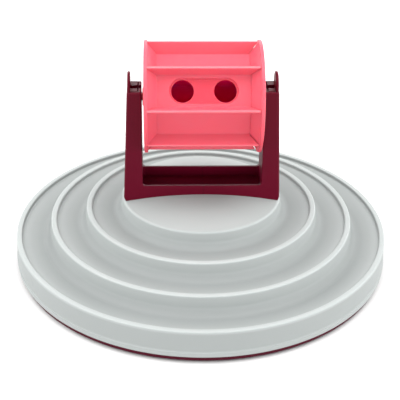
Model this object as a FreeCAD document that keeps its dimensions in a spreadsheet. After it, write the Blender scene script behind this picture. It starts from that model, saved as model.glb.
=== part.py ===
import FreeCAD, Part
import math
import os
import re
import Sketcher
from FreeCAD import Placement, Rotation, Vector

# Cat puzzle feeder: a terraced tray with a stand that carries a spinning treat drum.
# Millimetres and degrees. The origin is the middle of the footprint on the table, +Z is up,
# the drum's axle lies along X and the feeder's front looks along -Y.
SIZES = [
    ("tray_wall", 2.6, "wall of the tray moulding"),
    ("island_margin", 1.4, "dome beyond each end of the stand's foot"),
    ("inner_trench_pitch", 26.6, "island's edge to the middle of the innermost ridge"),
    ("middle_trench_pitch", 28.7, "innermost ridge to the second one, middle to middle"),
    ("outer_trench_pitch", 28.3, "second ridge to the outermost one, middle to middle"),
    ("skirt_offset", 3, "middle of the outermost ridge to the lip round the bottom"),
    ("ridge_width", 4.4, "width of each ridge between two trenches"),
    ("ridge_round", 2.1, "rounding of the ridges' crests"),
    ("toe_round", 1, "hollow rounding at the foot of each ridge"),
    ("rim_height", 27, "top of the outermost ridge"),
    ("outer_step", 10.6, "rise from the outermost ridge to the second one"),
    ("middle_step", 9.4, "rise from the second ridge to the innermost one"),
    ("inner_step", 9.1, "rise from the innermost ridge to the island's edge"),
    ("dome_rise", 6.3, "rise from the island's edge to the dome's middle"),
    ("island_round", 2, "rounding of the island's edge"),
    ("trench_depth", 5.6, "deepest line of a trench below its outer ridge"),
    ("trench_rise", 2.2, "how far the trench floor rises towards its outer ridge"),
    ("trench_round", 7, "hollow rounding at the foot of each inner wall"),
    ("wall_draft", 5, "lean of the trenches' inner walls"),
    ("lip_height", 4, "height of the lip round the bottom of the skirt"),
    ("lip_proud", 0.45, "how far the lip stands out of the skirt"),
    ("foot_proud", 1, "how far the rubber feet stand out below the plate"),
    ("plate_inset", 1.8, "edge of the bottom plate inside the lip"),
    ("plate_floor", 2.4, "thickness of the bottom plate"),
    ("plate_bevel", 0.8, "bevel under the plate's edge"),
    ("plate_edge_height", 4.5, "height of the plate's edge, which the skirt stands on"),
    ("plate_register_height", 3, "rib that centres the tray on the plate"),
    ("plate_register_width", 2.4, "thickness of the centring rib"),
    ("plate_register_gap", 0.3, "clearance between the centring rib and the skirt"),
    ("foot_diameter", 18, "rubber foot"),
    ("foot_edge", 0.6, "bevel round the bottom of a rubber foot"),
    ("foot_let_in", 1.2, "depth of the rubber foot's recess in the plate"),
    ("foot_gap", 0.2, "clearance round a rubber foot"),
    ("foot_circle_inset", 22, "circle of the rubber feet inside the lip"),
    ("foot_count", 6, "rubber feet"),
    ("plate_screw_offset", 15, "circle of the plate's screws beyond the innermost ridge"),
    ("plate_screw_count", 6, "screws through the plate"),
    ("plate_boss_diameter", 12, "raised seat round each screw on the plate"),
    ("plate_boss_height", 2, "height of the raised seat over the plate's floor"),
    ("tray_boss_diameter", 9, "tray boss that a plate screw bites into"),
    ("screw_shank_diameter", 3.4, "self-tapping screw, over the thread"),
    ("screw_head_diameter", 6.8, "screw head"),
    ("screw_head_height", 2.2, "screw head"),
    ("screw_drive_width", 1, "cross recess in the screw head"),
    ("screw_fit_gap", 0.05, "radial clearance of a screw in its pilot hole"),
    ("screw_pass_gap", 0.4, "radial clearance of a screw in a hole that it passes through"),
    ("pilot_spare", 1, "depth of a pilot hole beyond its screw"),
    ("plate_screw_length", 12, "plate screw under the head"),
    ("stand_screw_length", 18, "stand screw under the head"),
    ("stand_screw_inset", 7.5, "stand screw beyond the upright's inner face"),
    ("stand_boss_diameter", 11, "boss round each stand screw"),
    ("stand_boss_drop", 4, "how far the dome's screw boss hangs below the dome's shell"),
    ("stand_boss_height", 22, "height of the screw boss inside each upright"),
    ("foot_sink", 4, "bottom of the stand's foot below the island's edge, before it is fitted to the dome"),
    ("foot_flare", 4.2, "how far each upright widens outwards down to the foot"),
    ("foot_spread", 3.5, "how far the uprights widen down to the foot, in front and behind"),
    ("foot_bevel", 4, "bevel under each end of the foot"),
    ("head_width", 11, "width of each upright at its shoulder"),
    ("stand_top_depth", 24, "depth of the uprights at the shoulders, front to back"),
    ("upright_height", 85.5, "shoulders over the middle of the dome"),
    ("upright_wall", 2.4, "wall of the hollow uprights"),
    ("upright_core_margin", 0.5, "room that the hollow leaves for the uprights' lean"),
    ("upright_head", 18, "solid head of each upright, under the shoulders"),
    ("upright_core_draft", 2, "draft of the hollow in each upright"),
    ("upright_round", 1.8, "rounding of the uprights' outer corners"),
    ("shoulder_round", 1.5, "rounding of the shoulders' outer edges"),
    ("ear_thickness", 2.1, "half-round ear outside each axle stub"),
    ("ear_inset", 0.5, "ear inside the upright's outer face"),
    ("ear_set_back", 1, "ear behind the upright's front and back faces"),
    ("ear_round", 0.8, "rounding of the ear's edges"),
    ("rim_wall", 2, "rim round the top of each upright"),
    ("rim_gap", 1, "groove between the rim and the saddle block"),
    ("rim_gap_depth", 2.5, "depth of that groove"),
    ("front_round", 0.8, "rounding of the frame's inner edge in front and behind"),
    ("trough_floor", 2.1, "floor of the trough over the middle of the dome"),
    ("front_bar_rise", 5, "top of the trough's front wall over its floor"),
    ("back_bar_step", 3, "top of the trough's back wall over the front one"),
    ("trough_wall", 3.2, "front and back walls of the trough, at the foot"),
    ("trough_round", 2.5, "rounding in the trough's corners"),
    ("saddle_depth", 8, "drum's axis below the shoulders"),
    ("drum_radius", 43, "end discs of the drum"),
    ("drum_width", 89.2, "drum over its end discs"),
    ("disc_clearance", 2.2, "between each end disc and its upright"),
    ("disc_thickness", 2.7, "end disc"),
    ("disc_round", 0.8, "rounding of the disc's rim"),
    ("end_wall_width", 6.9, "how far the slanted end walls reach in from the discs, along the axle"),
    ("end_wall_inset", 0.7, "corners of the slanted end walls inside the discs' rims"),
    ("dish_rim", 4, "rim round the dish in the outer face of each disc"),
    ("dish_floor", 2.4, "thickness of the dish's floor, which closes the core"),
    ("paddle_reach", 9.6, "disc's rim outside the corners of the many-sided core"),
    ("core_wall", 2.2, "wall of the hollow core"),
    ("paddle_count", 8, "paddles, one on each corner of the core"),
    ("paddle_thickness", 2.1, "paddle"),
    ("paddle_tip_inset", 0.2, "paddle tips inside the discs' rims"),
    ("paddle_end_gap", 0.8, "gap between the paddles and the cap, along the axle"),
    ("hole_diameter", 16.7, "treat hole"),
    ("hole_spacing", 31.8, "treat holes, middle to middle"),
    ("recess_border", 1.45, "recess beyond the treat holes"),
    ("recess_depth", 1.7, "recess round the treat holes"),
    ("recess_backing", 1.8, "thickening behind the recess"),
    ("recess_margin", 2, "thickening beyond the recess all round"),
    ("drum_turn", 59, "turn of the holed face from straight up towards the front"),
    ("stub_diameter", 6, "axle stub"),
    ("stub_gap", 0.1, "radial clearance of a stub in its saddle"),
    ("stub_end_gap", 0.5, "clearance between a stub's end and the ear"),
    ("stub_bevel", 0.6, "bevel on a stub's end"),
    ("collar_diameter", 14, "collar that keeps the disc off the upright"),
    ("collar_gap", 0.8, "clearance between the collar and the upright"),
    ("spigot_length", 6, "spigot of the cap inside the core"),
    ("spigot_wall", 1.8, "wall of the spigot"),
    ("spigot_gap", 0.12, "clearance of the spigot in the core"),
]
NAMES = {name for name, size, note in SIZES}

# Sizes that follow from those above. The stand is built round the drum, and the tray round the stand.
FOLLOWING = {
    "upright_gap": "drum_width + 2*disc_clearance",
    "stand_top_width": "upright_gap + 2*head_width",
    "stand_foot_width": "stand_top_width + 2*foot_flare",
    "stand_foot_depth": "stand_top_depth + 2*foot_spread",
    "stand_screw_offset": "upright_gap/2 + stand_screw_inset",
    "island_radius": "stand_foot_width/2 + island_margin",
    "inner_ridge_radius": "island_radius + inner_trench_pitch",
    "middle_ridge_radius": "inner_ridge_radius + middle_trench_pitch",
    "rim_radius": "middle_ridge_radius + outer_trench_pitch",
    "base_radius": "rim_radius + skirt_offset",
    "middle_ridge_height": "rim_height + outer_step",
    "inner_ridge_height": "middle_ridge_height + middle_step",
    "island_edge_height": "inner_ridge_height + inner_step",
    "dome_height": "island_edge_height + dome_rise",
    "plate_radius": "base_radius - plate_inset",
    "foot_circle_radius": "base_radius - foot_circle_inset",
    "plate_screw_circle_radius": "inner_ridge_radius + plate_screw_offset",
    "trough_floor_height": "dome_height + trough_floor",
    "front_bar_height": "trough_floor_height + front_bar_rise",
    "back_bar_height": "front_bar_height + back_bar_step",
    "trough_width": "stand_foot_depth - 2*trough_wall",
    "shoulder_height": "dome_height + upright_height",
    "axle_height": "shoulder_height - saddle_depth",
    "core_radius": "drum_radius - paddle_reach",
    "recess_width": "hole_diameter + 2*recess_border",
    "recess_length": "hole_spacing + recess_width",
}

doc = FreeCAD.newDocument("puzzle_feeder")
sheet = doc.addObject("Spreadsheet::Sheet", "sizes")
for row, (name, size, note) in enumerate(SIZES, 1):
    sheet.set(f"A{row}", name)
    sheet.set(f"B{row}", str(size))
    sheet.set(f"C{row}", note)
    sheet.setAlias(f"B{row}", name)
doc.recompute()


def cell(text):
    # A formula in the words of the lists above becomes one that any object of the document can read.
    def spell(match):
        word = match.group()
        if word in FOLLOWING:
            return f"({cell(FOLLOWING[word])})"
        return "sizes." + word if word in NAMES else word
    return re.sub(r"[a-z][a-z_]*", spell, text)


def value(text):
    return float(sheet.evalExpression(cell(text)))


def bind(item, prop, text):
    item.setExpression(prop, cell(text))


# Sketches: every corner and centre is held by its distance from the body's own origin.

def make_sketch(body, name, plane, lift="0", turn=None):
    sketch = body.newObject("Sketcher::SketchObject", name)
    origin_plane = [f for f in body.Origin.OriginFeatures if f.Role == plane][0]
    sketch.AttachmentSupport = [(origin_plane, "")]
    sketch.MapMode = "FlatFace"
    if turn:
        sketch.AttachmentOffset = Placement(Vector(), Rotation(Vector(0, 0, 1), value(turn)))
        bind(sketch, "AttachmentOffset.Rotation.Angle", turn)
    bind(sketch, "AttachmentOffset.Base.z", lift)
    return sketch


def hold(sketch, geometry, point, x, y, along="xy"):
    for letter, kind, text, axis in (("x", "DistanceX", x, -2), ("y", "DistanceY", y, -1)):
        if letter not in along:
            continue
        if text == "0":
            sketch.addConstraint(Sketcher.Constraint("PointOnObject", geometry, point, axis))
            continue
        index = sketch.addConstraint(Sketcher.Constraint(kind, -1, 1, geometry, point, value(text)))
        bind(sketch, f"Constraints[{index}]", text)


def arc(centre_x, centre_y, turn, held):
    # The edge to the next corner is an arc. turn is 1 anticlockwise, -1 clockwise; held is the
    # centre's coordinate that fixes it.
    return {"centre": (centre_x, centre_y), "turn": turn, "held": held}


def rounded(radius):
    # The corner is rounded off by an arc that is tangent to both of its edges.
    return {"radius": radius}


def heading(place, leaving, curve, towards):
    # Unit direction of an edge at one of its corners, pointing along the edge away from the corner.
    if curve is None:
        return (towards - place).normalize()
    centre = Vector(value(curve["centre"][0]), value(curve["centre"][1]), 0)
    spoke = (place - centre).normalize()
    turn = curve["turn"] if leaving else -curve["turn"]
    return Vector(-spoke.y * turn, spoke.x * turn, 0)


def corner_round(place, radius, back, ahead):
    # Where the rounding leaves the edges, and its centre.
    half = back.getAngle(ahead) / 2
    reach = radius / math.tan(half)
    centre = place + (back + ahead).normalize() * (radius / math.sin(half))
    return place + back * reach, place + ahead * reach, centre


def draw_outline(sketch, corners):
    # corners: (x, y), (x, y, arc) or (x, y, rounded). Straight edges join them unless an arc is given.
    places = [Vector(value(c[0]), value(c[1]), 0) for c in corners]
    count = len(corners)
    curves = [c[2] if len(c) == 3 and "centre" in c[2] else None for c in corners]
    rounds = {}
    for i, corner in enumerate(corners):
        if len(corner) == 3 and "radius" in corner[2]:
            back = heading(places[i], False, curves[i - 1], places[i - 1])
            ahead = heading(places[i], True, curves[i], places[(i + 1) % count])
            rounds[i] = corner_round(places[i], value(corner[2]["radius"]), back, ahead)
    edges = []
    for i in range(count):
        j = (i + 1) % count
        here = rounds[i][1] if i in rounds else places[i]
        after = rounds[j][0] if j in rounds else places[j]
        curve = curves[i]
        if curve is None:
            edges.append((sketch.addGeometry(Part.LineSegment(here, after), False), 1, 2))
            continue
        centre = Vector(value(curve["centre"][0]), value(curve["centre"][1]), 0)
        start, end = (here, after) if curve["turn"] > 0 else (after, here)
        circle = Part.Circle(centre, Vector(0, 0, 1), (places[i] - centre).Length)
        piece = Part.ArcOfCircle(circle, circle.parameter(start), circle.parameter(end))
        index = sketch.addGeometry(piece, False)
        edges.append((index, 1, 2) if curve["turn"] > 0 else (index, 2, 1))
    for i, corner in enumerate(corners):
        before = edges[i - 1]
        after = edges[i]
        if i in rounds:
            round_corner(sketch, before, after, corner, rounds[i])
        else:
            sketch.addConstraint(Sketcher.Constraint("Coincident", before[0], before[2], after[0], after[1]))
            hold(sketch, after[0], after[1], corner[0], corner[1])
        if curves[i]:
            centre = curves[i]["centre"]
            hold(sketch, after[0], 3, centre[0], centre[1], curves[i]["held"])


def round_corner(sketch, before, after, corner, places):
    # A construction point stays at the corner itself, so the sizes still say where the corner is.
    start, end, centre = places
    left = (start - centre).cross(end - centre).z > 0
    first, last = (start, end) if left else (end, start)
    circle = Part.Circle(centre, Vector(0, 0, 1), (start - centre).Length)
    index = sketch.addGeometry(Part.ArcOfCircle(circle, circle.parameter(first), circle.parameter(last)), False)
    begin, finish = (1, 2) if left else (2, 1)
    spot = Vector(value(corner[0]), value(corner[1]), 0)
    point = sketch.addGeometry(Part.Point(spot), True)
    sketch.addConstraint(Sketcher.Constraint("Tangent", before[0], before[2], index, begin))
    sketch.addConstraint(Sketcher.Constraint("Tangent", index, finish, after[0], after[1]))
    radius = corner[2]["radius"]
    held = sketch.addConstraint(Sketcher.Constraint("Radius", index, value(radius)))
    bind(sketch, f"Constraints[{held}]", radius)
    sketch.addConstraint(Sketcher.Constraint("PointOnObject", point, 1, before[0]))
    sketch.addConstraint(Sketcher.Constraint("PointOnObject", point, 1, after[0]))
    hold(sketch, point, 1, corner[0], corner[1])


def draw_circle(sketch, x, y, radius):
    circle = Part.Circle(Vector(value(x), value(y), 0), Vector(0, 0, 1), value(radius))
    index = sketch.addGeometry(circle, False)
    hold(sketch, index, 3, x, y)
    held = sketch.addConstraint(Sketcher.Constraint("Radius", index, value(radius)))
    bind(sketch, f"Constraints[{held}]", radius)


def draw_stadium(sketch, length, width):
    straight = f"(({length}) - ({width}))/2"
    half = f"({width})/2"
    draw_outline(sketch, [
        (f"-{straight}", f"-{half}"),
        (straight, f"-{half}", arc(straight, "0", 1, "x")),
        (straight, half),
        (f"-{straight}", half, arc(f"-{straight}", "0", 1, "x")),
    ])


def mirrored(corners):
    return [(f"-({x})", y) for x, y in corners]


def many_sided(radius, count):
    # A flat side faces straight up along the sketch's second axis.
    angles = [f"(90 + ({2 * k + 1})*180/paddle_count)" for k in range(count)]
    return [(f"({radius})*cos({angle})", f"({radius})*sin({angle})") for angle in angles]


# Features: each one is rebuilt at once, and one that leaves the solid unchanged is an error.

def make_body(name, height="0"):
    body = doc.addObject("PartDesign::Body", name)
    body.Label = name
    bind(body, "Placement.Base.z", height)
    return body


def settle(body, before):
    doc.recompute()
    if abs(body.Shape.Volume - before) < 1e-6:
        raise ValueError(f"{body.Tip.Name} changes nothing: {body.Tip.getStatusString()}")


def add_feature(body, kind, name, sketch, length="", both=False, back=False, draft=None, axis="V_Axis"):
    before = body.Shape.Volume if body.Tip else 0
    feature = body.newObject(f"PartDesign::{kind}", name)
    feature.Profile = sketch
    if kind in ("Revolution", "Groove"):
        feature.ReferenceAxis = (sketch, [axis])
        feature.Angle = 360
    else:
        bind(feature, "Length", length)
        feature.SideType = "Symmetric" if both else "One side"
        feature.Reversed = back
        if draft:
            bind(feature, "TaperAngle", draft)
    settle(body, before)
    return feature


def add_loft(body, name, sketch, far_sketch):
    before = body.Shape.Volume
    feature = body.newObject("PartDesign::AdditiveLoft", name)
    feature.Profile = sketch
    feature.Sections = [far_sketch]
    feature.Ruled = True
    settle(body, before)


def repeat_round(body, name, features, axis, count):
    before = body.Shape.Volume
    pattern = body.newObject("PartDesign::PolarPattern", name)
    pattern.Originals = features
    pattern.Axis = ([f for f in body.Origin.OriginFeatures if f.Role == axis][0], [""])
    pattern.Angle = 360
    bind(pattern, "Occurrences", count)
    body.Tip = pattern
    settle(body, before)


def work_edges(body, kind, name, size, chosen):
    # Rounds or bevels the edges for which chosen(edge) is true.
    base = body.Tip
    before = body.Shape.Volume
    edges = [f"Edge{i}" for i, edge in enumerate(base.Shape.Edges, 1) if not edge.Degenerated and chosen(edge)]
    if not edges:
        raise ValueError(f"{name} found no edge")
    feature = body.newObject(f"PartDesign::{kind}", name)
    feature.Base = (base, edges)
    bind(feature, "Radius" if kind == "Fillet" else "Size", size)
    settle(body, before)


# Shared places

SEAM = "(foot_proud + plate_edge_height)"
PLATE_TOP = "(foot_proud + plate_floor)"
PLATE_SEAT = "(foot_proud + plate_floor + plate_boss_height)"
SKIRT_INSIDE = "(base_radius - lip_proud - tray_wall)"
DOME_RADIUS = "((island_radius^2 + dome_rise^2)/(2*dome_rise))"
DOME_CENTRE = f"(dome_height - {DOME_RADIUS})"
FOOT_LEVEL = "(island_edge_height - foot_sink)"
BOSS_LEVEL = f"({DOME_CENTRE} + sqrt(({DOME_RADIUS} - tray_wall)^2 - stand_screw_offset^2) - stand_boss_drop)"
GAP_HALF = "(upright_gap/2)"
EAR_INSIDE = "(stand_top_width/2 - ear_inset - ear_thickness)"
DISC_FACE = "(drum_width/2 - disc_thickness)"
CORE_END = f"({DISC_FACE} - end_wall_width)"
DISH_BOTTOM = f"({CORE_END} + dish_floor)"
END_REACH = "(drum_radius - end_wall_inset)"
STUB_END = f"({EAR_INSIDE} - stub_end_gap)"
CORE_INNER_RADIUS = "(core_radius - core_wall/cos(180/paddle_count))"
CORE_FLAT = "(core_radius*cos(180/paddle_count))"


def dome_at(radius, below="0"):
    # Height of the dome, or of the surface that lies so far below it, at a radius.
    return f"({DOME_CENTRE} + sqrt(({DOME_RADIUS} - {below})^2 - ({radius})^2))"


# Tray: one turned shell, from the dome out over three trenches to the skirt.

def make_tray():
    body = make_body("base_tray")
    outside = []
    underside = []
    floors = {}
    step_radius = "island_radius"
    step_height = "island_edge_height"
    for ridge in ("inner_ridge", "middle_ridge", "rim"):
        floor = f"({ridge}_height - trench_depth)"
        foot = f"({step_radius} + ({step_height} - {floor})*tan(wall_draft))"
        near = f"({ridge}_radius - ridge_width/2)"
        far = f"({ridge}_radius + ridge_width/2)"
        toe = f"({floor} + trench_rise)"
        outside += [
            (foot, floor, rounded("trench_round")),
            (near, toe, rounded("toe_round")),
            (near, f"{ridge}_height", rounded("ridge_round")),
            (far, f"{ridge}_height", rounded("ridge_round")),
        ]
        underside += [(f"({foot} - tray_wall)", f"({floor} - tray_wall)"),
                      (f"({far} - tray_wall)", f"({toe} - tray_wall)")]
        floors[ridge] = (foot, floor, near)
        step_radius = far
        step_height = f"{ridge}_height"
    inner_edge = "(island_radius - tray_wall)"
    profile = [("0", "dome_height", arc("0", DOME_CENTRE, -1, "x")),
               ("island_radius", "island_edge_height", rounded("island_round"))]
    profile += outside
    profile += [
        ("(base_radius - lip_proud)", f"({SEAM} + lip_height)"),
        ("base_radius", f"({SEAM} + lip_height - lip_proud)"),
        ("base_radius", SEAM),
        (SKIRT_INSIDE, SEAM),
    ]
    profile += reversed(underside)
    profile += [(inner_edge, dome_at(inner_edge, "tray_wall"), arc("0", DOME_CENTRE, 1, "x")),
                ("0", "(dome_height - tray_wall)")]
    sketch = make_sketch(body, "tray_profile", "XZ_Plane")
    draw_outline(sketch, profile)
    add_feature(body, "Revolution", "tray_shell", sketch)

    foot, floor, near = floors["middle_ridge"]
    slope = f"trench_rise*(plate_screw_circle_radius - {foot})/({near} - {foot})"
    shell_middle = f"({floor} + {slope} - tray_wall/2)"
    sketch = make_sketch(body, "plate_boss_outline", "XY_Plane", PLATE_SEAT)
    draw_circle(sketch, "plate_screw_circle_radius", "0", "tray_boss_diameter/2")
    boss = add_feature(body, "Pad", "plate_boss", sketch, f"{shell_middle} - {PLATE_SEAT}")
    repeat_round(body, "plate_bosses", [boss], "Z_Axis", "plate_screw_count")
    sketch = make_sketch(body, "plate_pilot_outline", "XY_Plane", PLATE_SEAT)
    draw_circle(sketch, "plate_screw_circle_radius", "0", "screw_shank_diameter/2 + screw_fit_gap")
    pilot = add_feature(body, "Pocket", "plate_pilot", sketch, "plate_screw_length - plate_boss_height + pilot_spare",
                        back=True)
    repeat_round(body, "plate_pilots", [pilot], "Z_Axis", "plate_screw_count")

    sketch = make_sketch(body, "stand_boss_outline", "XY_Plane", BOSS_LEVEL)
    for side in ("stand_screw_offset", "-stand_screw_offset"):
        draw_circle(sketch, side, "0", "stand_boss_diameter/2")
    boss_top = dome_at("stand_screw_offset", "tray_wall/2")
    add_feature(body, "Pad", "stand_bosses", sketch, f"{boss_top} - {BOSS_LEVEL}")
    sketch = make_sketch(body, "stand_screw_hole_outline", "XY_Plane", BOSS_LEVEL)
    for side in ("stand_screw_offset", "-stand_screw_offset"):
        draw_circle(sketch, side, "0", "screw_shank_diameter/2 + screw_pass_gap")
    add_feature(body, "Pocket", "stand_screw_holes", sketch, "stand_boss_drop + 3*tray_wall", back=True)
    return body


# Bottom plate: a turned disc with an edge, a centring rib, screw seats and recesses for the feet.

def make_plate():
    body = make_body("base_plate")
    rib_outside = f"({SKIRT_INSIDE} - plate_register_gap)"
    rib_inside = f"({rib_outside} - plate_register_width)"
    rib_top = f"({SEAM} + plate_register_height)"
    sketch = make_sketch(body, "plate_profile", "XZ_Plane")
    draw_outline(sketch, [
        ("0", "foot_proud"),
        ("(plate_radius - plate_bevel)", "foot_proud"),
        ("plate_radius", "(foot_proud + plate_bevel)"),
        ("plate_radius", SEAM),
        (rib_outside, SEAM),
        (rib_outside, rib_top),
        (rib_inside, rib_top),
        (rib_inside, PLATE_TOP),
        ("0", PLATE_TOP),
    ])
    add_feature(body, "Revolution", "plate_disc", sketch)
    sketch = make_sketch(body, "seat_outline", "XY_Plane", PLATE_TOP)
    draw_circle(sketch, "plate_screw_circle_radius", "0", "plate_boss_diameter/2")
    seat = add_feature(body, "Pad", "seat", sketch, "plate_boss_height")
    repeat_round(body, "seats", [seat], "Z_Axis", "plate_screw_count")
    sketch = make_sketch(body, "head_recess_outline", "XY_Plane", PLATE_TOP)
    draw_circle(sketch, "plate_screw_circle_radius", "0", "screw_head_diameter/2 + screw_pass_gap")
    recess = add_feature(body, "Pocket", "head_recess", sketch, "plate_floor")
    repeat_round(body, "head_recesses", [recess], "Z_Axis", "plate_screw_count")
    sketch = make_sketch(body, "screw_hole_outline", "XY_Plane", PLATE_SEAT)
    draw_circle(sketch, "plate_screw_circle_radius", "0", "screw_shank_diameter/2 + screw_pass_gap")
    hole = add_feature(body, "Pocket", "screw_hole", sketch, "plate_boss_height")
    repeat_round(body, "screw_holes", [hole], "Z_Axis", "plate_screw_count")
    sketch = make_sketch(body, "foot_recess_outline", "XY_Plane", "foot_proud + foot_let_in",
                         "180/foot_count")
    draw_circle(sketch, "foot_circle_radius", "0", "foot_diameter/2 + foot_gap")
    recess = add_feature(body, "Pocket", "foot_recess", sketch, "foot_let_in")
    repeat_round(body, "foot_recesses", [recess], "Z_Axis", "foot_count")
    return body


def make_foot(number):
    body = make_body(f"rubber_foot_{number}")
    angle = f"({2 * number - 1}*180/foot_count)"
    bind(body, "Placement.Base.x", f"foot_circle_radius*cos({angle})")
    bind(body, "Placement.Base.y", f"foot_circle_radius*sin({angle})")
    sketch = make_sketch(body, f"foot_{number}_profile", "XZ_Plane")
    draw_outline(sketch, [
        ("0", "0"),
        ("(foot_diameter/2 - foot_edge)", "0"),
        ("(foot_diameter/2)", "foot_edge"),
        ("(foot_diameter/2)", "(foot_proud + foot_let_in)"),
        ("0", "(foot_proud + foot_let_in)"),
    ])
    add_feature(body, "Revolution", f"foot_{number}_disc", sketch)
    return body


# Screws: head down, shank up, from a bearing face at the given place.

def make_screw(name, length, x, y, height):
    head = doc.addObject("Part::Cylinder", f"{name}_head")
    bind(head, "Radius", "screw_head_diameter/2")
    bind(head, "Height", "screw_head_height")
    bind(head, "Placement.Base.z", "-screw_head_height")
    shank = doc.addObject("Part::Cylinder", f"{name}_shank")
    bind(shank, "Radius", "screw_shank_diameter/2")
    bind(shank, "Height", f"{length} - screw_shank_diameter/2")
    tip = doc.addObject("Part::Cone", f"{name}_tip")
    bind(tip, "Radius1", "screw_shank_diameter/2")
    bind(tip, "Radius2", "screw_shank_diameter/6")
    bind(tip, "Height", "screw_shank_diameter/2")
    bind(tip, "Placement.Base.z", f"{length} - screw_shank_diameter/2")
    blank = doc.addObject("Part::MultiFuse", f"{name}_blank")
    blank.Shapes = [head, shank, tip]
    arms = []
    for k, (along_x, along_y) in enumerate((("screw_head_diameter*0.55", "screw_drive_width"),
                                            ("screw_drive_width", "screw_head_diameter*0.55"))):
        arm = doc.addObject("Part::Box", f"{name}_drive_{k + 1}")
        bind(arm, "Length", along_x)
        bind(arm, "Width", along_y)
        bind(arm, "Height", "screw_head_height*0.6")
        bind(arm, "Placement.Base.x", f"-{along_x}/2")
        bind(arm, "Placement.Base.y", f"-{along_y}/2")
        bind(arm, "Placement.Base.z", "-screw_head_height")
        arms.append(arm)
    drive = doc.addObject("Part::MultiFuse", f"{name}_drive")
    drive.Shapes = arms
    screw = doc.addObject("Part::Cut", name)
    screw.Base = blank
    screw.Tool = drive
    bind(screw, "Placement.Base.x", x)
    bind(screw, "Placement.Base.y", y)
    bind(screw, "Placement.Base.z", height)
    return screw


def make_plate_screws():
    count = int(value("plate_screw_count"))
    places = [(f"plate_screw_circle_radius*cos({k}*360/plate_screw_count)",
               f"plate_screw_circle_radius*sin({k}*360/plate_screw_count)") for k in range(count)]
    group = doc.addObject("Part::Compound", "plate_screws")
    group.Links = [make_screw(f"plate_screw_{k + 1}", "plate_screw_length", x, y, PLATE_TOP)
                   for k, (x, y) in enumerate(places)]
    group.Label = "plate_screws"
    return group


def make_stand_screws():
    group = doc.addObject("Part::Compound", "stand_screws")
    group.Links = [make_screw(f"stand_screw_{name}", "stand_screw_length", x, "0", BOSS_LEVEL)
                   for name, x in (("left", "-stand_screw_offset"), ("right", "stand_screw_offset"))]
    group.Label = "stand_screws"
    return group


# Stand: a U seen from the front, tapered from the side, hollow in its uprights, seated on the dome.

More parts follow.
